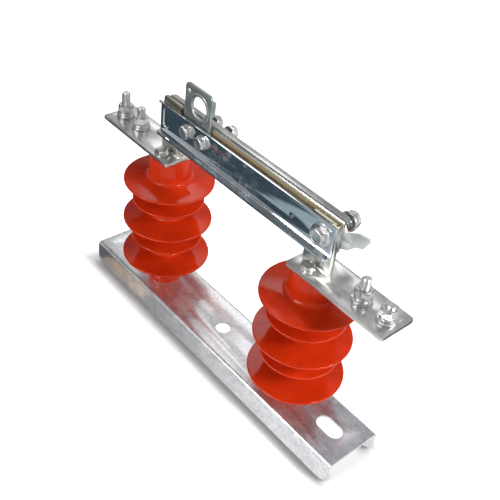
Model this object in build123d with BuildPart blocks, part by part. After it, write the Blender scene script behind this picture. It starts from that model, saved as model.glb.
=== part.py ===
from build123d import *
from collections import namedtuple
import os

# Single-pole knife switch on two ribbed post insulators and a bent channel base.
# Millimetres. The origin is under the middle of the base, on the floor.
# +X runs along the base to the hinged end, +Y away from the bolt heads, +Z up.

# Screws: shank radius, width across the flats, head and nut heights,
# flat washer radius and thickness, split washer thickness
Screw = namedtuple("Screw", "radius across head nut washer washer_thick lock_thick")
M8 = Screw(4, 13, 5.3, 6.8, 8, 1.6, 2)
M10 = Screw(5, 16, 6.4, 8.4, 10.5, 2, 2.6)
LOCK_RIM = 0.9
HOLE_PLAY = 0.5
THREAD_PLAY = 0.05

# Base channel
BASE_LENGTH = 432
BASE_WIDTH = 72
BASE_HEIGHT = 30
BASE_SHEET = 3
BASE_BEND = 4.5
BASE_END_CUT = 9
BASE_END_CUT_RISE = 6
SLOT_X = 180
SLOT_LENGTH = 33
SLOT_WIDTH = 19
MIDDLE_HOLE = 9.5

# Post insulators: large and small sheds by turns, at even heights
INSULATOR_X = 118
INSULATOR_HEIGHT = 178
CORE_RADIUS = 19.5
HEAD_RADIUS = 23
COLLAR_RADIUS = 25
SHED_RADIUS = 52.5
SMALL_SHED_RADIUS = 42
TOP_SHED_DROP = 35
SHED_PITCH = 53
SHED_RIM = 3
SHED_SLOPE = 3.5
RIM_ROUND = 1.2
ROOT_ROUND = 5
SCREW_DEPTH = 18
SCREW_SPREAD = 13

# Terminal plates
PLATE_INNER_X = 97
PLATE_OUTER_X = 222.5
PLATE_WIDTH = 45
PLATE_THICK = 4
PLATE_ROUND = 3
TERMINAL_X = (177, 208.5)
STUD_PROUD = {"left": (11, 15), "right": (12, 3)}
THREAD_DEPTH = 0.5
SHOULDER = 0.3

# Contact tongues: the jaw stands higher and is bevelled to lead the blades in
TONGUE_THICK = 6
TONGUE_INNER_X = 100.5
TONGUE_OUTER_X = {"left": 131.5, "right": 136}
TONGUE_HEIGHT = {"left": 64, "right": 58}
TONGUE_ROUND = {"left": 2, "right": 4}
LEAD_IN = 1.2
LEAD_IN_DROP = 8
WELD = 1.6

# Blades: angles of bent sheet, one each side of the tongues
HINGE_X = 120.5
HINGE_Z = 253
BLADE_PLAY = 0.15
BLADE_SHEET = 3
BLADE_END = 15.5
BLADE_REACH = 252
BLADE_FLANGE_SIDE = 20.5
BLADE_EDGE_SIDE = 15.5
BLADE_FLANGE = 10
BLADE_BEND = 4
BLADE_CORNER = 4
BLADE_EAR = 4.5
BLADE_EAR_HEIGHT = 1.8
BLADE_HOLE_X = 81
BLADE_HOLE_SHIFT = 3
BLADE_HOLE = 3.5
BEAD_X = -122
BEAD_LENGTH = 25
BEAD_WIDTH = 11
BEAD_DEPTH = 1.2
BEAD_SIDE_ANGLE = 50
HINGE_PLAY = 0.08
HINGE_WASHER = 12
HINGE_NUT_Y = 40
CLAMP_X = (-84, -58.5)
CLAMP_Z = 256
CLAMP_NUT_Y = 38
NUT_PROUD = 2.5

# Coil springs: wire radius, coil radius at the wire's middle, rise of one turn
Coil = namedtuple("Coil", "wire radius pitch")
HINGE_COIL = Coil(1.1, 7.6, 4.6)
CLAMP_COIL = Coil(0.9, 6.2, 3.6)

# Pull ring plate, its foot held between the blades
RING_THICK = 2.5
RING_LEFT = -97
RING_RIGHT = -54
RING_TOP = 309
RING_BOTTOM = 244
RING_FOOT_RIGHT = -46
RING_FOOT_TOP = 262
RING_ROUND = 6
RING_HOLE_X = -73
RING_HOLE_Z = 287.5
RING_HOLE = 12
RING_BEAD = 4
RING_BEAD_RISE = 0.8
RING_EYE_X = -91.7
RING_EYE_Z = 300
RING_EYE = 2.6
RING_RETURN = 5
RING_RETURN_SHEET = 2.5
RING_RETURN_BOTTOM = 285

# Opening stop: a plate keyed under the far blade's flange, with a tail past the hinge
STOP_THICK = 2.5
STOP_PLAY = 0.2
STOP_HALF = 13
STOP_NECK = 18.5
STOP_NECK_RISE = 8.5
STOP_SHOULDER = 32
STOP_SHOULDER_RISE = 16.5
STOP_REACH = 47
STOP_TIP_RISE = 18.5
STOP_TIP_LOW = 3.7
STOP_TIP_SLANT = 7
STOP_HOLLOW_LOW = 0.7
STOP_HEEL = 23.5
STOP_HEEL_LOW = -8.5
STOP_ROUND = 1.5

BASE_TOP = BASE_HEIGHT
PLATE_BOTTOM = BASE_TOP + INSULATOR_HEIGHT
PLATE_TOP = PLATE_BOTTOM + PLATE_THICK
BLADE_IN_Y = TONGUE_THICK / 2 + BLADE_PLAY
BLADE_OUT_Y = BLADE_IN_Y + BLADE_SHEET
SIDES = {"left": -1, "right": 1}

os.makedirs("parts", exist_ok=True)


def hex_bolts(seat, centres, screw, reach):
    """Hex heads on the seat plane, with shanks that go `reach` the other way."""
    with BuildPart() as bolts:
        with BuildSketch(seat):
            with Locations(*centres):
                RegularPolygon(screw.across / 2, 6, major_radius=False)
        extrude(amount=screw.head)
        with BuildSketch(seat):
            with Locations(*centres):
                Circle(screw.radius)
        extrude(amount=-reach)
    return bolts


def hex_nuts(seat, centres, screw):
    """Nuts that stand on the seat plane."""
    with BuildPart() as nuts:
        with BuildSketch(seat):
            with Locations(*centres):
                RegularPolygon(screw.across / 2, 6, major_radius=False)
                Circle(screw.radius + THREAD_PLAY, mode=Mode.SUBTRACT)
        extrude(amount=screw.nut)
    return nuts


def rings(seat, centres, outer, inner, thick):
    """Washers or sleeves that stand on the seat plane."""
    with BuildPart() as washers:
        with BuildSketch(seat):
            with Locations(*centres):
                Circle(outer)
                Circle(inner, mode=Mode.SUBTRACT)
        extrude(amount=thick)
    return washers


def across(y):
    """A plane at this y that faces the bolt heads, with x along X and y up Z."""
    return Plane(origin=(0, y, 0), x_dir=(1, 0, 0), z_dir=(0, -1, 0))


def away(y):
    """A plane at this y that faces away from the bolt heads, with x along -X."""
    return Plane(origin=(0, y, 0), x_dir=(-1, 0, 0), z_dir=(0, 1, 0))


def base_channel():
    """Sheet bent down along both long edges, its lower end corners cut off."""
    half = BASE_WIDTH / 2
    with BuildPart() as channel:
        with BuildSketch(Plane.YZ.offset(-BASE_LENGTH / 2)):
            with BuildLine():
                FilletPolyline(
                    (-half, 0), (-half, BASE_HEIGHT), (half, BASE_HEIGHT), (half, 0),
                    radius=BASE_BEND,
                )
                FilletPolyline(
                    (half, 0),
                    (half - BASE_SHEET, 0),
                    (half - BASE_SHEET, BASE_HEIGHT - BASE_SHEET),
                    (BASE_SHEET - half, BASE_HEIGHT - BASE_SHEET),
                    (BASE_SHEET - half, 0),
                    (-half, 0),
                    radius=(0, BASE_BEND - BASE_SHEET, BASE_BEND - BASE_SHEET, 0),
                )
            make_face()
        extrude(amount=BASE_LENGTH)
        with BuildSketch(Plane.XZ.offset(-half)):
            for side in SIDES.values():
                end = side * BASE_LENGTH / 2
                with BuildLine():
                    Polyline(
                        (end, 0), (end - side * BASE_END_CUT, 0),
                        (end, BASE_END_CUT_RISE), close=True,
                    )
                make_face()
        extrude(amount=BASE_WIDTH, mode=Mode.SUBTRACT)
        with BuildSketch(Plane.XY.offset(BASE_TOP)):
            Circle(MIDDLE_HOLE)
            with Locations((-SLOT_X, 0), (SLOT_X, 0)):
                SlotOverall(SLOT_LENGTH, SLOT_WIDTH)
            for side in SIDES.values():
                with Locations(*post_screws(side)):
                    Circle(M8.radius + HOLE_PLAY)
        extrude(amount=-BASE_SHEET, mode=Mode.SUBTRACT)
    return channel


def post_screws(side):
    """Centres of the two screws at either end of one insulator."""
    return [(side * INSULATOR_X, y) for y in (-SCREW_SPREAD, SCREW_SPREAD)]


def insulator(side):
    """A post with large and small sheds by turns and a thicker collar on top."""
    top_rim = PLATE_BOTTOM - TOP_SHED_DROP
    outline = [(0, BASE_TOP), (CORE_RADIUS, BASE_TOP)]
    for step in (4, 3, 2, 1, 0):
        rim = top_rim - step * SHED_PITCH / 2
        radius = SMALL_SHED_RADIUS if step % 2 else SHED_RADIUS
        above = COLLAR_RADIUS if step == 0 else CORE_RADIUS
        outline += [
            (CORE_RADIUS, rim), (radius, rim), (radius, rim + SHED_RIM),
            (above, rim + SHED_RIM + SHED_SLOPE),
        ]
    outline += [(HEAD_RADIUS, PLATE_BOTTOM), (0, PLATE_BOTTOM)]
    with BuildPart() as post:
        with BuildSketch(Plane.XZ):
            with BuildLine():
                Polyline(*outline, close=True)
            make_face()
            inside = vertices().filter_by(lambda v: BASE_TOP < v.Y < PLATE_BOTTOM)
            fillet(inside.filter_by(lambda v: v.X > COLLAR_RADIUS + 1), RIM_ROUND)
            inside = vertices().filter_by(lambda v: BASE_TOP < v.Y < PLATE_BOTTOM)
            fillet(inside.filter_by(lambda v: v.X < COLLAR_RADIUS + 1), ROOT_ROUND)
        revolve(axis=Axis.Z)
        for seat, depth in ((PLATE_BOTTOM, -SCREW_DEPTH), (BASE_TOP, SCREW_DEPTH)):
            with BuildSketch(Plane.XY.offset(seat)):
                with Locations((0, -SCREW_SPREAD), (0, SCREW_SPREAD)):
                    Circle(M8.radius + THREAD_PLAY)
            extrude(amount=depth, mode=Mode.SUBTRACT)
    post.part = Pos(side * INSULATOR_X, 0, 0) * post.part
    return post


def terminal_plate(side):
    """A flat bar from the insulator's head out to the line terminals."""
    length = PLATE_OUTER_X - PLATE_INNER_X
    with BuildPart() as plate:
        with BuildSketch(Plane.XY.offset(PLATE_BOTTOM)):
            with Locations((side * (PLATE_INNER_X + length / 2), 0)):
                Rectangle(length, PLATE_WIDTH)
            fillet(vertices(), PLATE_ROUND)
            with Locations(*[(side * x, 0) for x in TERMINAL_X]):
                Circle(M10.radius + HOLE_PLAY, mode=Mode.SUBTRACT)
            with Locations(*post_screws(side)):
                Circle(M8.radius + HOLE_PLAY, mode=Mode.SUBTRACT)
        extrude(amount=PLATE_THICK)
    return plate


def tongue(name):
    """An upright contact welded on the terminal plate; the right one carries the hinge."""
    height = TONGUE_HEIGHT[name]
    width = TONGUE_OUTER_X[name] - TONGUE_INNER_X
    middle = SIDES[name] * (TONGUE_INNER_X + width / 2)
    half = TONGUE_THICK / 2
    with BuildPart() as upright:
        with BuildSketch(Plane.XZ.offset(-half)):
            with Locations((middle, PLATE_TOP + height / 2)):
                Rectangle(width, height)
            fillet(vertices().group_by(Axis.Y)[-1], TONGUE_ROUND[name])
        extrude(amount=TONGUE_THICK)
        if name == "left":
            top = PLATE_TOP + height
            with BuildSketch(Plane.YZ.offset(middle - width / 2)):
                for hand in (-1, 1):
                    with BuildLine():
                        Polyline(
                            (hand * half, top - LEAD_IN_DROP), (hand * half, top),
                            (hand * (half - LEAD_IN), top), close=True,
                        )
                    make_face()
            extrude(amount=width, mode=Mode.SUBTRACT)
        with BuildSketch(Plane.YZ.offset(middle - width / 2)):
            for hand in (-1, 1):
                with BuildLine():
                    Polyline(
                        (0, PLATE_TOP), (hand * (half + WELD), PLATE_TOP),
                        (hand * half, PLATE_TOP + WELD), (0, PLATE_TOP + WELD), close=True,
                    )
                make_face()
        extrude(amount=width)
        if name == "right":
            with BuildSketch(across(half)):
                with Locations((HINGE_X, HINGE_Z)):
                    Circle(M10.radius + HINGE_PLAY)
            extrude(amount=TONGUE_THICK, mode=Mode.SUBTRACT)
    return upright


def blade(hand):
    """An angle of bent sheet. The near one's flange is low, the far one's is high."""
    inner, outer = hand * BLADE_IN_Y, hand * BLADE_OUT_Y
    lip = hand * (BLADE_IN_Y + BLADE_FLANGE)
    edge = HINGE_Z - hand * BLADE_EDGE_SIDE
    corner = HINGE_Z + hand * BLADE_FLANGE_SIDE
    under = corner - hand * BLADE_SHEET
    start = HINGE_X - BLADE_REACH
    with BuildPart() as angle:
        with BuildSketch(Plane.YZ.offset(start)):
            with BuildLine():
                FilletPolyline(
                    (outer, edge), (inner, edge), (inner, corner), (lip, corner),
                    radius=(0, BLADE_BEND),
                )
                FilletPolyline(
                    (lip, corner), (lip, under), (outer, under), (outer, edge),
                    radius=(0, BLADE_BEND - BLADE_SHEET),
                )
            make_face()
        extrude(amount=BLADE_REACH + BLADE_END)
        lip_corners = edges().filter_by(Axis.Z).filter_by(lambda e: abs(e.center().Y - lip) < 1)
        fillet(lip_corners, BLADE_CORNER)
        with BuildSketch(across(outer)):
            with Locations((start - BLADE_EAR / 2, edge + hand * BLADE_EAR_HEIGHT / 2)):
                Rectangle(BLADE_EAR, BLADE_EAR_HEIGHT)
        extrude(amount=hand * BLADE_SHEET)
        with BuildSketch(across(outer)):
            with Locations((BEAD_X, HINGE_Z)):
                SlotOverall(BEAD_LENGTH, BEAD_WIDTH, rotation=90)
        extrude(amount=hand * BEAD_DEPTH, taper=BEAD_SIDE_ANGLE, mode=Mode.SUBTRACT)
        with BuildSketch(across(outer)):
            with Locations((BLADE_HOLE_X, HINGE_Z + hand * BLADE_HOLE_SHIFT)):
                Circle(BLADE_HOLE)
            with Locations((HINGE_X, HINGE_Z)):
                Circle(M10.radius + THREAD_PLAY)
            with Locations(*clamps()):
                Circle(M8.radius + THREAD_PLAY)
        extrude(amount=hand * BLADE_SHEET, mode=Mode.SUBTRACT)
    return angle


def clamps():
    """Centres of the two screws that clamp the blades and the pull ring plate."""
    return [(x, CLAMP_Z) for x in CLAMP_X]


def pull_ring_plate():
    """An upright sheet with a beaded hole for the hook of an operating rod."""
    face = across(RING_THICK / 2)
    with BuildPart() as plate:
        with BuildSketch(face):
            with Locations(((RING_LEFT + RING_RIGHT) / 2, (RING_BOTTOM + RING_TOP) / 2)):
                Rectangle(RING_RIGHT - RING_LEFT, RING_TOP - RING_BOTTOM)
            fillet(vertices().group_by(Axis.Y)[-1], RING_ROUND)
        extrude(amount=RING_THICK)
        return_top = RING_TOP - RING_ROUND
        with BuildSketch(Plane.YZ.offset(RING_RIGHT)):
            with Locations((RING_RETURN / 2, (RING_RETURN_BOTTOM + return_top) / 2)):
                Rectangle(RING_RETURN, return_top - RING_RETURN_BOTTOM)
            fillet(vertices().group_by(Axis.X)[-1], RING_RETURN / 2)
        extrude(amount=-RING_RETURN_SHEET)
        with BuildSketch(across(TONGUE_THICK / 2)):
            with Locations(((RING_LEFT + RING_FOOT_RIGHT) / 2, (RING_BOTTOM + RING_FOOT_TOP) / 2)):
                Rectangle(RING_FOOT_RIGHT - RING_LEFT, RING_FOOT_TOP - RING_BOTTOM)
        extrude(amount=TONGUE_THICK)
        for hand in (-1, 1):
            with BuildSketch(Plane.XY.offset(RING_HOLE_Z)):
                with BuildLine():
                    start = (RING_HOLE_X + RING_HOLE, hand * RING_THICK / 2)
                    crest = (start[0] + RING_BEAD / 2, start[1] + hand * RING_BEAD_RISE)
                    end = (start[0] + RING_BEAD, start[1])
                    ThreePointArc(start, crest, end)
                    Line(end, start)
                make_face()
            revolve(axis=Axis((RING_HOLE_X, 0, RING_HOLE_Z), (0, 1, 0)))
        with BuildSketch(across(TONGUE_THICK / 2)):
            with Locations((RING_HOLE_X, RING_HOLE_Z)):
                Circle(RING_HOLE)
            with Locations((RING_EYE_X, RING_EYE_Z)):
                Circle(RING_EYE)
            with Locations(*clamps()):
                Circle(M8.radius + THREAD_PLAY)
        extrude(amount=TONGUE_THICK, mode=Mode.SUBTRACT)
    return plate


def opening_stop():
    """A plate on the hinge bolt whose tail meets the terminal plate when open."""
    top = BLADE_FLANGE_SIDE - BLADE_BEND - STOP_PLAY
    outline = (
        (-STOP_HALF, -STOP_HALF), (-STOP_HALF, top), (STOP_HALF, top),
        (STOP_NECK, STOP_NECK_RISE), (STOP_SHOULDER, STOP_SHOULDER_RISE),
        (STOP_REACH, STOP_TIP_RISE), (STOP_REACH - STOP_TIP_SLANT, STOP_TIP_LOW),
        (STOP_SHOULDER, STOP_HOLLOW_LOW), (STOP_HEEL, STOP_HEEL_LOW),
        (STOP_HALF, -STOP_HALF),
    )
    with BuildPart() as stop:
        with BuildSketch(across(BLADE_OUT_Y + STOP_THICK)):
            with BuildLine():
                Polyline(*[(HINGE_X + x, HINGE_Z + z) for x, z in outline], close=True)
            make_face()
            inner_end = HINGE_X + STOP_HALF
            fillet(vertices().filter_by(lambda v: v.X > inner_end + 1), STOP_ROUND)
            with Locations((HINGE_X, HINGE_Z)):
                Circle(M10.radius + THREAD_PLAY, mode=Mode.SUBTRACT)
        extrude(amount=STOP_THICK)
    return stop


def coil_springs(y, room, centres, coil):
    """Springs on the hinge side's axis that fill the room from y on, ends not ground."""
    with BuildPart() as springs:
        for x, z in centres:
            with BuildLine() as path:
                Helix(coil.pitch, room - 2 * coil.wire, coil.radius,
                      center=(x, y + coil.wire, z), direction=(0, 1, 0))
            with BuildSketch(Plane(origin=path.line @ 0, z_dir=path.line % 0)):
                Circle(coil.wire)
            sweep()
    return springs


def write(piece, label):
    """Name a finished piece and write its file."""
    piece.part.label = label
    export_step(piece.part, f"parts/{label}.step")


write(base_channel(), "base_channel")

for name, side in SIDES.items():
    write(insulator(side), f"insulator_{name}")
    write(terminal_plate(side), f"terminal_plate_{name}")

    floor_of_web = BASE_TOP - BASE_SHEET
    below_web = Plane(origin=(0, 0, floor_of_web), x_dir=(1, 0, 0), z_dir=(0, 0, -1))
    screws = post_screws(side)
    write(rings(below_web, screws, M8.washer, M8.radius + HOLE_PLAY, M8.washer_thick),
          f"foot_washers_{name}")
    foot_seat = below_web.offset(M8.washer_thick)
    write(hex_bolts(foot_seat, screws, M8, M8.washer_thick + BASE_SHEET + SCREW_DEPTH - 1),
          f"foot_bolts_{name}")

    above = Plane.XY.offset(PLATE_TOP)
    write(rings(above, screws, M8.washer, M8.radius + HOLE_PLAY, M8.washer_thick),
          f"mount_washers_{name}")
    write(hex_bolts(above.offset(M8.washer_thick), screws, M8,
                    M8.washer_thick + PLATE_THICK + SCREW_DEPTH - 1), f"mount_bolts_{name}")

    studs = [(side * x, 0) for x in TERMINAL_X]
    hole = M10.radius + HOLE_PLAY
    write(rings(above, studs, M10.washer, hole, M10.washer_thick), f"lower_washers_{name}")
    above = above.offset(M10.washer_thick)
    write(rings(above, studs, M10.washer, hole, M10.washer_thick), f"upper_washers_{name}")
    above = above.offset(M10.washer_thick)
    write(rings(above, studs, M10.across / 2 + LOCK_RIM, M10.radius + THREAD_PLAY, M10.lock_thick),
          f"lock_washers_{name}")
    above = above.offset(M10.lock_thick)
    write(hex_nuts(above, studs, M10), f"terminal_nuts_{name}")

    under_plate = Plane(origin=(0, 0, PLATE_BOTTOM), x_dir=(1, 0, 0), z_dir=(0, 0, -1))
    with BuildPart() as terminal_bolts:
        with BuildSketch(under_plate):
            with Locations(*studs):
                RegularPolygon(M10.across / 2, 6, major_radius=False)
        extrude(amount=M10.head)
        nut_top = above.origin.Z + M10.nut
        for stud, proud in zip(studs, STUD_PROUD[name]):
            with BuildSketch(under_plate):
                with Locations(stud):
                    Circle(M10.radius)
            extrude(amount=-(nut_top + SHOULDER - PLATE_BOTTOM))
            with BuildSketch(Plane.XY.offset(nut_top + SHOULDER)):
                with Locations(stud):
                    Circle(M10.radius - THREAD_DEPTH)
            extrude(amount=proud - SHOULDER)
    write(terminal_bolts, f"terminal_bolts_{name}")

write(tongue("left"), "jaw_tongue")
write(tongue("right"), "hinge_tongue")
write(blade(-1), "blade_near")
write(blade(1), "blade_far")
write(pull_ring_plate(), "pull_ring_plate")
write(opening_stop(), "opening_stop")

hinge = [(HINGE_X, HINGE_Z)]
hinge_away = [(-HINGE_X, HINGE_Z)]
near = across(-BLADE_OUT_Y)
write(rings(near, hinge, HINGE_WASHER, M10.radius + HOLE_PLAY, M10.washer_thick),
      "hinge_head_washer")
hinge_reach = HINGE_NUT_Y + NUT_PROUD + BLADE_OUT_Y + M10.washer_thick
write(hex_bolts(near.offset(M10.washer_thick), hinge, M10, hinge_reach), "hinge_bolt")
far = BLADE_OUT_Y + STOP_THICK
nut_seat = HINGE_NUT_Y - M10.nut
with BuildPart() as hinge_washers:
    for y in (far, nut_seat - M10.washer_thick):
        with BuildSketch(away(y)):
            with Locations(*hinge_away):
                Circle(M10.washer)
                Circle(M10.radius + HOLE_PLAY, mode=Mode.SUBTRACT)
        extrude(amount=M10.washer_thick)
write(hinge_washers, "hinge_washers")
write(coil_springs(far + M10.washer_thick, nut_seat - far - 2 * M10.washer_thick, hinge, HINGE_COIL),
      "hinge_spring")
write(hex_nuts(away(nut_seat), hinge_away, M10), "hinge_nut")

near_clamps = clamps()
far_clamps = [(-x, z) for x, z in near_clamps]
write(rings(near, near_clamps, M8.washer, M8.radius + HOLE_PLAY, M8.washer_thick),
      "clamp_head_washers")
clamp_reach = CLAMP_NUT_Y + NUT_PROUD + BLADE_OUT_Y + M8.washer_thick
write(hex_bolts(near.offset(M8.washer_thick), near_clamps, M8, clamp_reach), "clamp_bolts")
nut_seat = CLAMP_NUT_Y - M8.nut
with BuildPart() as clamp_washers:
    for y in (BLADE_OUT_Y, nut_seat - M8.washer_thick):
        with BuildSketch(away(y)):
            with Locations(*far_clamps):
                Circle(M8.washer)
                Circle(M8.radius + HOLE_PLAY, mode=Mode.SUBTRACT)
        extrude(amount=M8.washer_thick)
write(clamp_washers, "clamp_washers")
write(coil_springs(BLADE_OUT_Y + M8.washer_thick, nut_seat - BLADE_OUT_Y - 2 * M8.washer_thick,
                   near_clamps, CLAMP_COIL), "clamp_springs")
write(hex_nuts(away(nut_seat), far_clamps, M8), "clamp_nuts")
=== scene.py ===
import bpy
import math
from mathutils import Matrix, Vector


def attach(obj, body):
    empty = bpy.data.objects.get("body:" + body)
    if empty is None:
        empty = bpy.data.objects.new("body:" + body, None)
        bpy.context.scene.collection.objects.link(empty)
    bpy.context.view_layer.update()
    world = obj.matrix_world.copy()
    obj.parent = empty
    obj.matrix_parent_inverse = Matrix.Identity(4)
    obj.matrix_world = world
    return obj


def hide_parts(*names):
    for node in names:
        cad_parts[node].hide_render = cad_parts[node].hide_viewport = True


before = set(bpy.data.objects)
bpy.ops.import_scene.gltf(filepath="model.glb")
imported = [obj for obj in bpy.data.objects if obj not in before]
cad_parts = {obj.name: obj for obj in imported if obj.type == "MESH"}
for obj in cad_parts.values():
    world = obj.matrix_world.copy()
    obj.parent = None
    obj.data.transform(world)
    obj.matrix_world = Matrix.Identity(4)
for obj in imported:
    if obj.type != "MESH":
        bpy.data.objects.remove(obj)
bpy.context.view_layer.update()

MM = 0.001

# Places on the switch
BASE_TOP = 30 * MM
BASE_SHEET = 3 * MM
PLATE_BOTTOM = 208 * MM
PLATE_TOP = 212 * MM
POST_X = 118 * MM
SCREW_SPREAD = 13 * MM
TERMINALS = (177 * MM, 208.5 * MM)
HINGE = Vector((120.5, 0, 253)) * MM
CLAMPS = [Vector((x, 0, 256)) * MM for x in (-84, -58.5)]
NEAR_FACE = -6.15 * MM
FAR_FACE = 6.15 * MM
STOP_SHEET = 2.5 * MM

# Where the cross bolts' nuts sit and their ends reach, along Y
HINGE_NUT, HINGE_TIP = 31.6 * MM, 42.5 * MM
CLAMP_NUT, CLAMP_TIP = 31.2 * MM, 40.5 * MM

# Screw sizes, and how much of each bolt is threaded
M8 = dict(size=8 * MM, across=13 * MM, head=5.3 * MM, nut=6.8 * MM, pitch=1.25 * MM,
          washer=16 * MM, flat=1.6 * MM)
M10 = dict(size=10 * MM, across=16 * MM, head=6.4 * MM, nut=8.4 * MM, pitch=1.5 * MM,
           washer=21 * MM, flat=2 * MM, lock_washer=17.8 * MM, lock=2.6 * MM)
BIG_WASHER = 24 * MM
MOUNT_SHANK = 24 * MM
CROSS_THREAD = 12 * MM
STUD_THREAD = 26 * MM
THREAD_LAP = MM
STUDS_PROUD = {"left": (11 * MM, 15 * MM), "right": (12 * MM, 3 * MM)}

# Ways that a fastener points, as turns from upright in degrees
UP, DOWN, TO_VIEWER, AWAY = (0, 0, 0), (180, 0, 0), (90, 0, 0), (-90, 0, 0)


# Bench work: how pieces are made, joined and put in place

def alone(piece):
    """Select this piece and nothing else."""
    bpy.ops.object.select_all(action="DESELECT")
    piece.select_set(True)
    bpy.context.view_layer.objects.active = piece


def settle(piece):
    """Move the piece's place into its mesh."""
    alone(piece)
    bpy.ops.object.transform_apply(location=True, rotation=True, scale=True)
    return piece


def copied(piece, spot, turn=UP):
    """A copy of a piece at a spot, turned in degrees."""
    twin = piece.copy()
    twin.data = piece.data.copy()
    bpy.context.collection.objects.link(twin)
    twin.rotation_euler = [math.radians(a) for a in turn]
    twin.location = spot
    return settle(twin)


def spun(piece, degrees):
    """A copy of a piece, turned about the upright axis."""
    return copied(piece, (0, 0, 0), (0, 0, degrees))


def joined(name, pieces):
    """Join pieces into one object."""
    if len(pieces) > 1:
        bpy.ops.object.select_all(action="DESELECT")
        for piece in pieces:
            piece.select_set(True)
        bpy.context.view_layer.objects.active = pieces[0]
        bpy.ops.object.join()
    pieces[0].name = name
    return pieces[0]


def discard(*pieces):
    for piece in pieces:
        bpy.data.objects.remove(piece)


def fixed(piece, kind, **settings):
    """Add a modifier to the piece and apply it."""
    alone(piece)
    modifier = piece.modifiers.new(kind.lower(), kind)
    for key, value in settings.items():
        setattr(modifier, key, value)
    bpy.ops.object.modifier_apply(modifier=modifier.name)


def cut(piece, tool, operation="DIFFERENCE"):
    """Cut a piece with a tool that is then thrown away."""
    fixed(piece, "BOOLEAN", object=tool, operation=operation, solver="EXACT")
    discard(tool)


def smoothed(piece, degrees):
    """Shade smooth across edges that are blunter than this."""
    alone(piece)
    bpy.ops.object.shade_smooth_by_angle(angle=math.radians(degrees))
    return piece


def eased(piece, width):
    """Take the sharp edges off a piece and shade it smooth up to them."""
    fixed(piece, "BEVEL", width=width, segments=2, limit_method="ANGLE",
          angle_limit=math.radians(35), miter_outer="MITER_ARC")
    return smoothed(piece, 32)


def start_outline(name, radius, height):
    """A piece that is one point so far, in edit mode."""
    bpy.ops.object.select_all(action="DESELECT")
    bpy.ops.mesh.primitive_plane_add(size=MM, location=(radius, 0, height))
    piece = bpy.context.object
    piece.name = name
    bpy.ops.object.mode_set(mode="EDIT")
    bpy.ops.mesh.select_mode(type="VERT")
    bpy.ops.mesh.select_all(action="SELECT")
    bpy.ops.mesh.merge(type="CENTER")
    return piece


def draw_out(outward, rise):
    """Pull what is selected outward and up, leaving an edge or a wall behind it."""
    bpy.ops.mesh.extrude_region_move(TRANSFORM_OT_translate={"value": (outward, 0, rise)})


def leave_edit():
    """Turn every face outward and leave edit mode."""
    bpy.ops.mesh.select_all(action="SELECT")
    bpy.ops.mesh.normals_make_consistent(inside=False)
    bpy.ops.object.mode_set(mode="OBJECT")


def turned(name, outline, steps):
    """Spin an outline of (radius, height) points about the upright axis."""
    piece = start_outline(name, *outline[0])
    for here, there in zip(outline, outline[1:]):
        draw_out(there[0] - here[0], there[1] - here[1])
    bpy.ops.mesh.select_all(action="SELECT")
    bpy.ops.mesh.spin(steps=steps, angle=math.tau, center=(0, 0, 0), axis=(0, 0, 1))
    bpy.ops.mesh.select_all(action="SELECT")
    bpy.ops.mesh.remove_doubles(threshold=MM / 1000)
    leave_edit()
    return settle(piece)


def painted(piece, material):
    """Give a piece one material in place of what it has."""
    piece.data.materials.clear()
    piece.data.materials.append(material)


def shown(piece, material, body, node):
    """Finish a new piece: its material, what carries it and what it stands for."""
    painted(piece, material)
    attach(piece, body)
    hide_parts(node)


# Materials

class Signal:
    """An output in a material. Arithmetic on it adds Math nodes."""

    def __init__(self, nodes, socket):
        self.nodes = nodes
        self.socket = socket

    def math(self, operation, *values):
        return self.nodes.node("Math", {"operation": operation}, list(values))

    def __add__(self, other):
        return self.math("ADD", self, other)

    __radd__ = __add__

    def __sub__(self, other):
        return self.math("SUBTRACT", self, other)

    def __rsub__(self, other):
        return self.math("SUBTRACT", other, self)

    def __mul__(self, other):
        return self.math("MULTIPLY", self, other)

    __rmul__ = __mul__

    def __abs__(self):
        return self.math("ABSOLUTE", self)

    def above(self, level, soft):
        """0 below level, 1 above level + soft."""
        return self.nodes.node("MapRange", {"clamp": True, "interpolation_type": "SMOOTHSTEP"},
                               {"Value": self, "From Min": level, "From Max": level + soft})

    def spread(self, low, high):
        """Stretch 0 to 1 over low to high."""
        return self * (high - low) + low


class Nodes:
    """A node tree that is built up from expressions."""

    def __init__(self, tree):
        self.tree = tree

    def node(self, kind, settings=None, values=None, out=0):
        """Add a node, set it up, feed it and give back one of its outputs."""
        node = self.tree.nodes.new("ShaderNode" + kind)
        for key, value in (settings or {}).items():
            setattr(node, key, value)
        for key, value in values.items() if isinstance(values, dict) else enumerate(values or []):
            if isinstance(value, Signal):
                self.tree.links.new(value.socket, node.inputs[key])
            elif value is not None:
                node.inputs[key].default_value = value
        return Signal(self, node.outputs[out]) if node.outputs else None

    def blend(self, amount, first, second):
        """First colour where amount is 0, second where it is 1."""
        first, second = ((*c, 1) if isinstance(c, tuple) else c for c in (first, second))
        return self.node("Mix", {"data_type": "RGBA", "clamp_factor": True},
                         {0: amount, 6: first, 7: second}, 2)

    def place(self):
        return self.node("TexCoord", out="Object")

    def part(self, vector, axis):
        return self.node("SeparateXYZ", {}, [vector], "XYZ".index(axis))

    def glow(self, colour, strength=1.0):
        return self.node("Emission", {}, {"Color": colour, "Strength": strength})


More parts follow.
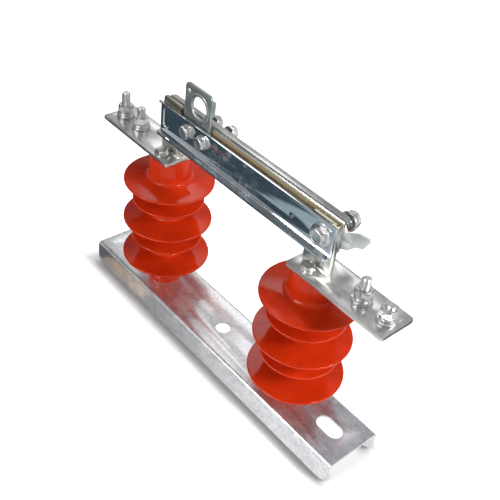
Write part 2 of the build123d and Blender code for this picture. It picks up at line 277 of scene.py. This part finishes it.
class Finish(Nodes):
    """A material for one of the pieces."""

    def __init__(self, name, **fixed_values):
        self.material = bpy.data.materials.new(name)
        self.material.use_nodes = True
        super().__init__(self.material.node_tree)
        self.shader = self.tree.nodes["Principled BSDF"]
        for key, value in fixed_values.items():
            self.shader.inputs[key.replace("_", " ")].default_value = value

    def stretched(self, scale, turn=(0, 0, 0)):
        """Object coordinates in metres, turned and scaled along each axis."""
        return self.node("Mapping", {}, {"Vector": self.place(), "Scale": scale, "Rotation": turn})

    def noise(self, scale, detail=3, rough=0.5, vector=None, distort=0.0):
        return self.node("TexNoise", {}, {"Vector": vector or self.place(), "Scale": scale,
                                          "Detail": detail, "Roughness": rough,
                                          "Distortion": distort})

    def cells(self, scale, vector=None):
        return self.node("TexVoronoi", {"feature": "F1"},
                         {"Vector": vector or self.place(), "Scale": scale}, "Color")

    def bump(self, height, strength, distance, under=None):
        return self.node("Bump", {}, {"Height": height, "Strength": strength,
                                      "Distance": distance, "Normal": under})

    def wire(self, **links):
        """Feed the shader and give back the material."""
        for key, signal in links.items():
            self.tree.links.new(signal.socket, self.shader.inputs[key.replace("_", " ")])
        return self.material


def galvanised_sheet():
    """Hot-dip zinc: small leafy spangles, soft bloom, fine specks and drawn streaks.
    The top of the base has painted shade, darker toward its right end."""
    f = Finish("galvanised_sheet")
    leaf = f.part(f.cells(150, f.stretched((1, 1.3, 1.2))), "X")
    small = f.part(f.cells(420), "Y")
    cloud = f.noise(34, 5, 0.62)
    speck = f.noise(700, 3, 0.6)
    streak = f.noise(1, 3, 0.6, f.stretched((14, 420, 420)))
    tone = leaf * 0.14 + small * 0.16 + cloud * 0.4 + streak * 0.1 + speck * 0.2
    share = tone.above(0.3, 0.4)
    bloom = cloud.above(0.55, 0.2)
    place = f.place()
    # Painted shade: the top of the base darkens toward its right end
    right_end = f.part(place, "X").above(70 * MM, 110 * MM)
    on_top = f.part(place, "Z").above(BASE_TOP - 0.4 * MM, 0.2 * MM)
    colour = f.blend(share, (0.62, 0.635, 0.665), (0.90, 0.905, 0.915))
    colour = f.blend(bloom * 0.4, colour, (0.90, 0.90, 0.905))
    dull = f.blend(share, (0.36, 0.38, 0.43), (0.56, 0.575, 0.62))
    colour = f.blend(right_end * on_top * 0.75, colour, dull)
    rough = leaf * 0.05 + cloud * 0.06 + bloom * 0.08 + 0.34
    height = small * 0.25 + leaf * 0.25 + speck * 0.5
    return f.wire(Base_Color=colour, Roughness=rough, Metallic=0.9 - bloom * 0.25,
                  Normal=f.bump(height, 0.13, 0.00015))


def mirror_zinc():
    """Bright zinc on the near blade: almost a mirror, with specks, and smudges where it is held."""
    f = Finish("mirror_zinc")
    patch = f.noise(38, 5, 0.62, f.stretched((0.7, 1, 1)), 0.6)
    along = f.part(f.place(), "X")
    handled = along.above(-62 * MM, 22 * MM) * (1 - along.above(14 * MM, 24 * MM))
    smudge = f.noise(75, 6, 0.7).above(0.44, 0.22)
    haze = smudge * patch.above(0.34, 0.2) * handled.spread(0.15, 1)
    speck = f.noise(420, 2, 0.6)
    wave = f.noise(14, 1, 0.4)
    colour = f.blend(patch.above(0.35, 0.35), (0.66, 0.71, 0.745), (0.80, 0.83, 0.85))
    colour = f.blend(haze * 0.6, colour, (0.56, 0.63, 0.68))
    rough = haze * 0.24 + speck * 0.06 + 0.07
    return f.wire(Base_Color=colour, Roughness=rough, Metallic=1 - haze * 0.12,
                  Normal=f.bump(wave, 0.12, 0.0004, f.bump(speck, 0.08, 0.00008)))


def far_zinc():
    """The far blade: duller zinc, darker to the left, with a painted brown reflection on the upper
    part of the face that looks at the near blade."""
    f = Finish("far_zinc")
    patch = f.noise(45, 5, 0.6, f.stretched((0.7, 1, 1)))
    speck = f.noise(420, 2, 0.6)
    place = f.place()
    # Painted reflection: the upper part of the face toward the near blade is brown and less
    # metallic
    inside = 1 - f.part(place, "Y").above(3.2 * MM, 0.3 * MM)
    brown = inside * f.part(place, "Z").above(257 * MM, 6 * MM)
    left = 1 - f.part(place, "X").above(-70 * MM, 60 * MM)
    colour = f.blend(patch.above(0.35, 0.35), (0.50, 0.51, 0.50), (0.68, 0.69, 0.68))
    colour = f.blend(left * 0.5, colour, (0.36, 0.36, 0.32))
    colour = f.blend(brown * 0.9, colour, (0.56, 0.44, 0.25))
    rough = patch * 0.16 + speck * 0.06 + brown * 0.15 + 0.16
    return f.wire(Base_Color=colour, Roughness=rough, Metallic=0.95 - brown * 0.6,
                  Normal=f.bump(speck, 0.12, 0.0001))


def bright_plate():
    """Plated flat bar: fine lines along it and dull patches."""
    f = Finish("bright_plate")
    line = f.noise(1, 4, 0.65, f.stretched((60, 900, 900)))
    cloud = f.noise(48, 4, 0.6)
    colour = f.blend(cloud.above(0.38, 0.3), (0.60, 0.60, 0.585), (0.75, 0.75, 0.74))
    rough = cloud * 0.12 + line * 0.14 + 0.21
    return f.wire(Base_Color=colour, Roughness=rough,
                  Metallic=0.98 - cloud.above(0.5, 0.3) * 0.15,
                  Normal=f.bump(cloud, 0.1, 0.0005, f.bump(line, 0.22, 0.0001)))


def contact_bar():
    """Plated contact bar: pale, with wiping marks and painted olive shade along its upper edge."""
    f = Finish("contact_bar", Metallic=1.0)
    wipe = f.noise(1, 3, 0.6, f.stretched((500, 500, 45)))
    cloud = f.noise(60, 3, 0.6)
    # Painted shade: the upper part of each contact, between the blades, is dark olive
    upper = f.part(f.place(), "Z").above(255 * MM, 14 * MM)
    colour = f.blend(cloud.above(0.35, 0.3), (0.60, 0.60, 0.56), (0.80, 0.80, 0.76))
    colour = f.blend(upper, colour, (0.34, 0.32, 0.25))
    return f.wire(Base_Color=colour, Roughness=cloud * 0.2 + wipe * 0.1 + 0.14,
                  Normal=f.bump(wipe, 0.2, 0.0001))


def satin_zinc(name, dark, light):
    """Duller zinc, dark on the ring plate and pale on the stop."""
    f = Finish(name)
    cloud = f.noise(55, 4, 0.6)
    grain = f.noise(900, 2, 0.6)
    colour = f.blend(cloud.above(0.35, 0.35), dark, light)
    rough = cloud * 0.14 + grain * 0.08 + 0.24
    return f.wire(Base_Color=colour, Roughness=rough, Metallic=cloud * 0.2 + 0.7,
                  Normal=f.bump(grain, 0.2, 0.0001, f.bump(cloud, 0.25, 0.0005)))


def plated_steel():
    """Satin zinc on bolts, nuts and washers, mottled light and dark."""
    f = Finish("plated_steel")
    cloud = f.noise(330, 6, 0.7)
    grain = f.noise(1500, 2, 0.6)
    colour = f.blend(cloud.above(0.36, 0.26), (0.52, 0.53, 0.53), (0.76, 0.76, 0.75))
    rough = cloud * 0.08 + grain * 0.08 + 0.24
    return f.wire(Base_Color=colour, Roughness=rough,
                  Metallic=1 - cloud.above(0.45, 0.3) * 0.2,
                  Normal=f.bump(cloud, 0.12, 0.0002, f.bump(grain, 0.1, 0.00005)))


def spring_wire():
    """Drawn and plated spring wire."""
    f = Finish("spring_wire", Metallic=1.0)
    cloud = f.noise(300, 3, 0.6)
    return f.wire(Base_Color=f.blend(cloud, (0.10, 0.10, 0.10), (0.50, 0.50, 0.49)),
                  Roughness=cloud * 0.15 + 0.16, Normal=f.bump(cloud, 0.1, 0.0001))


def red_silicone(name, post_x):
    """Moulded red silicone: soft gloss, a thin parting line down both sides, faint dust."""
    f = Finish(name, IOR=1.45, Specular_IOR_Level=0.27)
    turn = math.radians(-44)
    across = f.part(f.stretched((1, 1, 1), (0, 0, turn)), "Y")
    middle = math.sin(turn) * post_x
    line = 1 - abs(across - middle).above(0.1 * MM, 0.22 * MM)
    cloud = f.noise(34, 4, 0.6)
    peel = f.noise(700, 2, 0.5)
    dust = f.noise(220, 5, 0.7).above(0.62, 0.16)
    colour = f.blend(cloud.above(0.3, 0.45), (0.52, 0.026, 0.004), (0.64, 0.038, 0.005))
    colour = f.blend(dust * 0.05 + line * 0.22, colour, (0.55, 0.20, 0.14))
    rough = cloud * 0.06 + dust * 0.1 + 0.09
    return f.wire(Base_Color=colour, Roughness=rough,
                  Normal=f.bump(line, 0.6, 0.00018, f.bump(peel, 0.05, 0.0001)))


PLATE = bright_plate()
CONTACT = contact_bar()
STEEL = plated_steel()
SPRING = spring_wire()


# Sheet and bar pieces: the frame's shapes with their edges eased

def dressed(node, name, material, body, ease):
    """A copy of a frame piece with clean faces and eased edges."""
    piece = copied(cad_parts[node], (0, 0, 0))
    piece.parent = None
    for key in list(piece.keys()):
        if key.startswith("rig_"):
            del piece[key]
    piece.name = name
    alone(piece)
    bpy.ops.object.mode_set(mode="EDIT")
    bpy.ops.mesh.customdata_custom_splitnormals_clear()
    bpy.ops.mesh.select_all(action="SELECT")
    bpy.ops.mesh.remove_doubles(threshold=MM / 500)
    bpy.ops.mesh.dissolve_limited(angle_limit=math.radians(0.5))
    bpy.ops.object.mode_set(mode="OBJECT")
    eased(piece, ease)
    shown(piece, material, body, node)


dressed("base_channel", "base_sheet", galvanised_sheet(), "base", 0.35 * MM)
for side in ("left", "right"):
    dressed("terminal_plate_" + side, "terminal_bar_" + side, PLATE, "base",
            0.3 * MM)
dressed("jaw_tongue", "jaw_contact", CONTACT, "base", 0.3 * MM)
dressed("hinge_tongue", "hinge_contact", CONTACT, "base", 0.3 * MM)
dressed("blade_near", "near_blade", mirror_zinc(), "blade", 0.25 * MM)
dressed("blade_far", "far_blade", far_zinc(), "blade", 0.25 * MM)
dressed("pull_ring_plate", "pull_ring",
        satin_zinc("satin_zinc", (0.33, 0.37, 0.355), (0.45, 0.48, 0.47)),
        "blade", 0.4 * MM)
dressed("opening_stop", "stop_tail",
        satin_zinc("pale_satin_zinc", (0.72, 0.74, 0.74), (0.84, 0.85, 0.85)),
        "blade", 0.3 * MM)

# The insulators and the springs stay as the frame has them
for side, post_x in (("left", -POST_X), ("right", POST_X)):
    painted(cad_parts["insulator_" + side], red_silicone("red_silicone_" + side, post_x))
for name in ("hinge_spring", "clamp_springs"):
    painted(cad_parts[name], SPRING)


# Fasteners, each modelled once on the upright axis and then copied

def thread(screw, length):
    """A threaded rod that ends in a chamfer at height 0 and goes down from it."""
    radius, pitch = screw["size"] / 2, screw["pitch"]
    root = radius - 0.5 * pitch
    tip = 0.8 * pitch
    rod = start_outline("thread", root, -length - 2 * pitch)
    for outward, rise in ((0, 0.14), (radius - root, 0.3), (0, 0.16), (root - radius, 0.4)):
        draw_out(outward, rise * pitch)
    bpy.ops.object.mode_set(mode="OBJECT")
    settle(rod)
    fixed(rod, "SCREW", axis="Z", angle=math.tau, screw_offset=pitch,
          iterations=int(length / pitch) + 4, steps=24, render_steps=24)
    alone(rod)
    bpy.ops.object.mode_set(mode="EDIT")
    bpy.ops.mesh.select_all(action="SELECT")
    bpy.ops.mesh.remove_doubles(threshold=MM / 200)
    bpy.ops.mesh.bisect(plane_co=(0, 0, -length), plane_no=(0, 0, -1), use_fill=True,
                        clear_outer=True)
    bpy.ops.mesh.select_all(action="SELECT")
    bpy.ops.mesh.bisect(plane_co=(0, 0, -tip), plane_no=(0, 0, 1), use_fill=True,
                        clear_outer=True)
    draw_out(0, tip)
    bpy.ops.transform.resize(value=(0.8, 0.8, 1), center_override=(0, 0, 0))
    leave_edit()
    return smoothed(rod, 28)


def hex_blank(screw, height, both_ends):
    """A hexagon on height 0 with its corners turned off at the top, or at both ends."""
    bpy.ops.object.select_all(action="DESELECT")
    corner = screw["across"] / math.sqrt(3)
    bpy.ops.mesh.primitive_cylinder_add(vertices=6, radius=corner, depth=height,
                                        location=(0, 0, height / 2))
    blank = settle(bpy.context.object)
    flat = screw["across"] / 2 * 0.95
    slope = (corner - flat) * math.tan(math.radians(30)) * 1.15
    rim = corner * 1.01
    foot = [(0, 0), (flat, 0), (rim, slope)] if both_ends else [(0, 0), (rim, 0)]
    crown = [(rim, height - slope), (flat, height), (0, height)]
    cut(blank, turned("barrel", foot + crown, 72), "INTERSECT")
    return blank


def hex_head(screw):
    """A bolt head with a shallow dish in its top."""
    top = screw["head"]
    head = hex_blank(screw, top, False)
    reach = screw["across"] * 0.36
    floor = top - 0.25 * MM
    cut(head, turned("dish", [(0, floor), (reach * 0.9, floor), (reach, top + MM), (0, top + MM)],
                     48))
    return eased(head, 0.18 * MM)


def hex_nut(screw):
    """A nut with a countersink at both ends of its bore."""
    radius, top = screw["size"] / 2, screw["nut"]
    nut = hex_blank(screw, top, True)
    wide, wall, sink = radius + MM, radius + 0.05 * MM, 0.5 * MM
    cut(nut, turned("bore", [(0, -MM), (wide, -MM), (wall, sink), (wall, top - sink),
                             (wide, top + MM), (0, top + MM)], 48))
    return eased(nut, 0.18 * MM)


def flat_washer(screw, width):
    """A stamped washer: rounded on one side, crisp on the other."""
    inner, outer, thick = screw["size"] / 2 + 0.5 * MM, width / 2, screw["flat"]
    soft, crisp, bore = 0.35 * MM, 0.12 * MM, 0.1 * MM
    ring = turned("washer", [(inner, 0), (outer - soft, 0), (outer, soft),
                             (outer, thick - crisp), (outer - crisp, thick),
                             (inner + bore, thick), (inner, thick - bore), (inner, 0)], 64)
    return smoothed(ring, 50)


def lock_washer(screw):
    """A square ring, cut through and sprung a little."""
    bpy.ops.object.select_all(action="DESELECT")
    inner, thick = screw["size"] / 2 + 0.1 * MM, screw["lock"]
    width = screw["lock_washer"] / 2 - inner
    spring = thick * 0.14
    bpy.ops.mesh.primitive_plane_add(size=1, location=(0, 0, 0))
    ring = bpy.context.object
    ring.scale = (width, thick - spring, 1)
    ring.rotation_euler = (math.pi / 2, 0, 0)
    ring.location = (inner + width / 2, 0, (thick - spring) / 2)
    settle(ring)
    bpy.ops.object.mode_set(mode="EDIT")
    bpy.ops.mesh.select_all(action="SELECT")
    bpy.ops.mesh.delete(type="ONLY_FACE")
    bpy.ops.object.mode_set(mode="OBJECT")
    fixed(ring, "SCREW", axis="Z", angle=math.radians(351), screw_offset=spring, steps=60,
          render_steps=60, use_merge_vertices=False)
    alone(ring)
    bpy.ops.object.mode_set(mode="EDIT")
    bpy.ops.mesh.select_all(action="DESELECT")
    bpy.ops.mesh.select_mode(type="EDGE")
    bpy.ops.mesh.select_non_manifold()
    bpy.ops.mesh.edge_face_add()
    leave_edit()
    return eased(ring, 0.25 * MM)


def shank(screw, length):
    """A plain shank from height 0 down."""
    radius, chamfer = screw["size"] / 2, 0.4 * MM
    return turned("shank", [(0, -length), (radius - chamfer, -length),
                            (radius, chamfer - length), (radius, 0), (0, 0)], 40)


head_8, head_10 = hex_head(M8), hex_head(M10)
nut_8, nut_10 = hex_nut(M8), hex_nut(M10)
thread_8, thread_10, stud_thread = (thread(M8, CROSS_THREAD), thread(M10, CROSS_THREAD),
                                    thread(M10, STUD_THREAD))
washer_8, washer_10 = flat_washer(M8, M8["washer"]), flat_washer(M10, M10["washer"])
hinge_washer = flat_washer(M10, BIG_WASHER)
lock_10 = lock_washer(M10)
mount_screw = joined("mount_screw", [spun(head_8, 0), shank(M8, MOUNT_SHANK)])


def set_of(name, model, spots, turn, node, spins=None, body="base"):
    """Copies of one fastener at several spots, as one object."""
    pieces = []
    for spot, spin in zip(spots, spins or [0] * len(spots)):
        one = spun(model, spin)
        pieces.append(copied(one, spot, turn))
        discard(one)
    shown(joined(name, pieces), STEEL, body, node)


def terminal_studs(name, studs, tips, spins, node):
    """Bolts up through a terminal plate: head under it, long thread above."""
    pieces = []
    for stud, tip, spin in zip(studs, tips, spins):
        shank_top = tip - STUD_THREAD + THREAD_LAP
        pieces.append(copied(stud_thread, (stud.x, 0, tip), (0, 0, spin * 3)))
        plain = shank(M10, shank_top - PLATE_BOTTOM)
        plain.location = (stud.x, 0, shank_top)
        pieces.append(settle(plain))
        under = spun(head_10, spin)
        pieces.append(copied(under, (stud.x, 0, PLATE_BOTTOM), DOWN))
        discard(under)
    shown(joined(name, pieces), STEEL, "base", node)


def cross_bolts(name, screw, head, rod, tip, spots, spins, node):
    """Bolts along Y: head to the viewer, thread out of the far side."""
    pieces = []
    seat = NEAR_FACE - screw["flat"]
    shank_end = tip - CROSS_THREAD + THREAD_LAP
    for spot, spin in zip(spots, spins):
        turned_head = spun(head, spin)
        pieces.append(copied(turned_head, (spot.x, seat, spot.z), TO_VIEWER))
        pieces.append(copied(rod, (spot.x, tip, spot.z), AWAY))
        plain = shank(screw, shank_end - seat)
        pieces.append(copied(plain, (spot.x, shank_end, spot.z), AWAY))
        discard(turned_head, plain)
    shown(joined(name, pieces), STEEL, "blade", node)


def raised(spots, height):
    return [Vector((s.x, s.y, height)) for s in spots]


def on_y(spots, y):
    return [Vector((s.x, y, s.z)) for s in spots]


for name, side in (("left", -1), ("right", 1)):
    posts = [Vector((side * POST_X, y, 0)) for y in (-SCREW_SPREAD, SCREW_SPREAD)]
    set_of("mount_rings_" + name, washer_8, raised(posts, PLATE_TOP), UP, "mount_washers_" + name)
    set_of("mount_screws_" + name, mount_screw, raised(posts, PLATE_TOP + M8["flat"]), UP,
           "mount_bolts_" + name, (30, 12))
    under_web = BASE_TOP - BASE_SHEET
    set_of("foot_rings_" + name, washer_8, raised(posts, under_web), DOWN,
           "foot_washers_" + name)
    set_of("foot_screws_" + name, mount_screw, raised(posts, under_web - M8["flat"]), DOWN,
           "foot_bolts_" + name, (5, 41))

    studs = [Vector((side * x, 0, 0)) for x in TERMINALS]
    second = PLATE_TOP + M10["flat"]
    lock_seat = second + M10["flat"]
    nut_seat = lock_seat + M10["lock"]
    set_of("lower_rings_" + name, washer_10, raised(studs, PLATE_TOP), UP,
           "lower_washers_" + name)
    set_of("upper_rings_" + name, washer_10, raised(studs, second), UP,
           "upper_washers_" + name)
    set_of("split_rings_" + name, lock_10, raised(studs, lock_seat), UP,
           "lock_washers_" + name, (200, 250))
    set_of("stud_nuts_" + name, nut_10, raised(studs, nut_seat), UP,
           "terminal_nuts_" + name, (14, 38))
    tips = [nut_seat + M10["nut"] + proud for proud in STUDS_PROUD[name]]
    terminal_studs("terminal_studs_" + name, studs, tips, (8, 27), "terminal_bolts_" + name)

cross_bolts("hinge_screw", M10, head_10, thread_10, HINGE_TIP, [HINGE], (11,), "hinge_bolt")
cross_bolts("clamp_screws", M8, head_8, thread_8, CLAMP_TIP, CLAMPS, (24, 3), "clamp_bolts")
set_of("hinge_head_ring", hinge_washer, on_y([HINGE], NEAR_FACE), TO_VIEWER,
       "hinge_head_washer", body="blade")
set_of("clamp_head_rings", washer_8, on_y(CLAMPS, NEAR_FACE), TO_VIEWER,
       "clamp_head_washers", body="blade")
set_of("hinge_rings", washer_10,
       on_y([HINGE], FAR_FACE + STOP_SHEET) + on_y([HINGE], HINGE_NUT - M10["flat"]), AWAY,
       "hinge_washers", body="blade")
set_of("clamp_rings", washer_8, on_y(CLAMPS, FAR_FACE) + on_y(CLAMPS, CLAMP_NUT - M8["flat"]),
       AWAY, "clamp_washers", body="blade")
set_of("hinge_end_nut", nut_10, on_y([HINGE], HINGE_NUT), AWAY, "hinge_nut", (17,), "blade")
set_of("clamp_end_nuts", nut_8, on_y(CLAMPS, CLAMP_NUT), AWAY, "clamp_nuts", (9, 33), "blade")
discard(head_8, head_10, nut_8, nut_10, thread_8, thread_10, stud_thread, washer_8, washer_10,
        hinge_washer, lock_10, mount_screw)


# Studio: pale floor, soft boxes, and cards on the floor that only reflections see

def bearing(azimuth, elevation):
    """The way out from the switch: azimuth 0 is the front, 90 the right, in degrees."""
    a, e = math.radians(azimuth), math.radians(elevation)
    return Vector((math.sin(a) * math.cos(e), -math.cos(a) * math.cos(e), math.sin(e)))


def stage_material(name):
    """An empty material for the studio, and its nodes."""
    material = bpy.data.materials.new(name)
    material.use_nodes = True
    material.node_tree.nodes.clear()
    return material, Nodes(material.node_tree)


def flat_stage(name, size, spot, material):
    """A flat rectangle of the studio."""
    bpy.ops.object.select_all(action="DESELECT")
    bpy.ops.mesh.primitive_plane_add(size=1, location=spot)
    sheet = bpy.context.object
    sheet.name = name
    sheet.scale = (*size, 1)
    settle(sheet)
    sheet.data.materials.append(material)
    return sheet


WHITE = (1, 1, 1, 1)
FLOOR_SIZE = (12, 12)
FLOOR_DROP = -0.2 * MM
FLOOR_GLOW = 0.1

# The floor is matt, with painted shade close under what stands on it. The camera sees a glow added
# to that, all over and more where no shadow of the switch falls and right under the base.
material, n = stage_material("floor")
seen = n.node("LightPath", out="Is Camera Ray")
mirrored = n.node("LightPath", out="Is Glossy Ray")
# Painted shade: the floor's colour darkens where the switch stands close above it
open_to_light = n.node("AmbientOcclusion", {"samples": 8}, {"Distance": 26 * MM}, "AO")
matt_colour = n.blend(open_to_light.above(0.5, 0.4), (0.2, 0.2, 0.2), (0.92, 0.92, 0.92))
matt = n.node("BsdfDiffuse", {}, {"Color": matt_colour})
place = n.place()
across = abs(n.part(place, "Y"))
along = abs(n.part(place, "X"))
under = (1 - across.above(30 * MM, 4 * MM)) * (1 - along.above(192 * MM, 12 * MM))
clear = n.node("Math", {"operation": "MAXIMUM"},
               [across.above(40 * MM, 24 * MM), along.above(220 * MM, 30 * MM)])
glow = n.glow(WHITE, seen * (under * 0.8 + clear * 0.8 + FLOOR_GLOW))
# What metal mirrors of the floor is plain and pale, a little darker to the left
pale = n.glow(WHITE, n.part(place, "X").above(-0.14, 0.32).spread(0.3, 1.0))
lit = n.node("AddShader", {}, [matt, glow])
n.node("OutputMaterial", {}, {"Surface": n.node("MixShader", {}, [mirrored, lit, pale])})
flat_stage("floor", FLOOR_SIZE, (0, 0, FLOOR_DROP), material)

# Cards: name, left near corner, right far corner, colours at the left and the right, and where
# along X the second colour sets in and how softly
CARD_HEIGHT = 2 * MM
for name, low, high, at_left, at_right, fade in (
        ("dark_card", (-0.90, -0.90), (-0.02, -0.10),
         (0.046, 0.070, 0.088), (0.36, 0.44, 0.48), (-0.175, 0.07)),
        ("right_card", (0.20, 0.10), (0.65, 0.50),
         (0.10, 0.115, 0.11), (0.12, 0.13, 0.12), (0.20, 0.45)),
        ("left_card", (-0.80, 0.06), (-0.16, 0.60),
         (0.10, 0.10, 0.10), (0.15, 0.15, 0.15), (-0.80, 0.64)),
        ("tan_card", (-0.212, -0.095), (-0.12, -0.037),
         (0.38, 0.26, 0.17), (0.60, 0.48, 0.39), (-0.212, 0.092)),
        ("navy_card", (-0.32, -0.10), (-0.213, -0.037),
         (0.01, 0.015, 0.03), (0.02, 0.025, 0.04), (-0.32, 0.107))):
    material, n = stage_material(name)
    share = n.part(n.place(), "X").above(*fade)
    n.node("OutputMaterial", {}, {"Surface": n.glow(n.blend(share, at_left, at_right))})
    middle = [(a + b) / 2 for a, b in zip(low, high)]
    card = flat_stage(name, [b - a for a, b in zip(low, high)], (*middle, CARD_HEIGHT), material)
    card.visible_camera = card.visible_diffuse = False
    card.visible_shadow = card.visible_transmission = False

# World: white to the camera, even for diffuse light. Reflections see it darken toward the top,
# less so at the back, with brighter and darker places: azimuth, elevation, degrees to where
# each is full and to where it ends, and strength.
AMBIENT = 0.2
LOBES = ((-129, 46, 4, 13, 3.0), (-98, 18, 10, 26, -0.32), (-152, 40, 3, 12, -0.25))
world = bpy.data.worlds.new("studio")
bpy.context.scene.world = world
world.use_nodes = True
world.node_tree.nodes.clear()
n = Nodes(world.node_tree)
look = n.node("TexCoord", out="Generated")
glossy = n.node("LightPath", out="Is Glossy Ray")
seen = n.node("LightPath", out="Is Camera Ray")
back_share = n.part(look, "Y").above(0.0, 0.4)
radiance = 0.8 - n.part(look, "Z").above(0.0, 0.5) * (0.6 - back_share * 0.26)
for azimuth, elevation, full, end, gain in LOBES:
    toward = n.node("VectorMath", {"operation": "DOT_PRODUCT"},
                    [look, bearing(azimuth, elevation)], "Value")
    edge = math.cos(math.radians(end))
    radiance = radiance + toward.above(edge, math.cos(math.radians(full)) - edge) * gain
light = radiance * glossy + (1 - glossy) * AMBIENT
light = light * (1 - seen) + seen
n.node("OutputWorld", {}, {"Surface": n.node("Background", {}, {"Color": WHITE,
                                                                 "Strength": light})})

AIM = Vector((0, 0, 0.15))


def soft_box(name, azimuth, elevation, distance, size, level, strip):
    """An area lamp aimed at the switch. Level is how bright it alone makes a white card that
    faces it. A strip only shows in reflections, the others only light."""
    lamp = bpy.data.lights.new(name, "AREA")
    lamp.shape = "RECTANGLE"
    lamp.size, lamp.size_y = size
    lamp.energy = level * math.pi ** 2 * distance ** 2
    holder = bpy.data.objects.new(name, lamp)
    bpy.context.collection.objects.link(holder)
    holder.visible_glossy = strip
    holder.visible_diffuse = not strip
    away = bearing(azimuth, elevation)
    holder.location = AIM + away * distance
    holder.rotation_euler = away.to_track_quat("Z", "Y").to_euler()


soft_box("box_right", 106, 33, 1.6, (0.5, 0.4), 0.78, False)
soft_box("box_front", 0, 24, 1.6, (0.4, 0.3), 0.5, False)
soft_box("box_back", 188, 62, 1.7, (0.9, 0.9), 0.28, False)
soft_box("strip_right", 104, 36, 1.6, (0.8, 0.22), 0.6, True)
soft_box("strip_front", -4, 36, 1.6, (0.8, 0.22), 0.6, True)

# Camera, where it stood for the photograph
CAMERA_AZIMUTH, CAMERA_ELEVATION, CAMERA_ROLL = 44.456, 38.84, math.radians(7.917)
CAMERA_SPOT = (0.47270, -0.45469, 0.67989)
back = bearing(CAMERA_AZIMUTH, CAMERA_ELEVATION)
level = bearing(CAMERA_AZIMUTH + 90, 0)
upward = back.cross(level)
right = math.cos(CAMERA_ROLL) * level + math.sin(CAMERA_ROLL) * upward
up = math.cos(CAMERA_ROLL) * upward - math.sin(CAMERA_ROLL) * level
lens = bpy.data.cameras.new("camera")
lens.sensor_fit = "HORIZONTAL"
lens.sensor_width = 36
lens.lens = 55.65
lens.clip_start = 0.01
camera = bpy.data.objects.new("camera", lens)
bpy.context.collection.objects.link(camera)
turn = Matrix((right, up, back)).transposed().to_4x4()
camera.matrix_world = Matrix.Translation(CAMERA_SPOT) @ turn
bpy.context.scene.camera = camera

bpy.context.scene.view_settings.view_transform = "Standard"
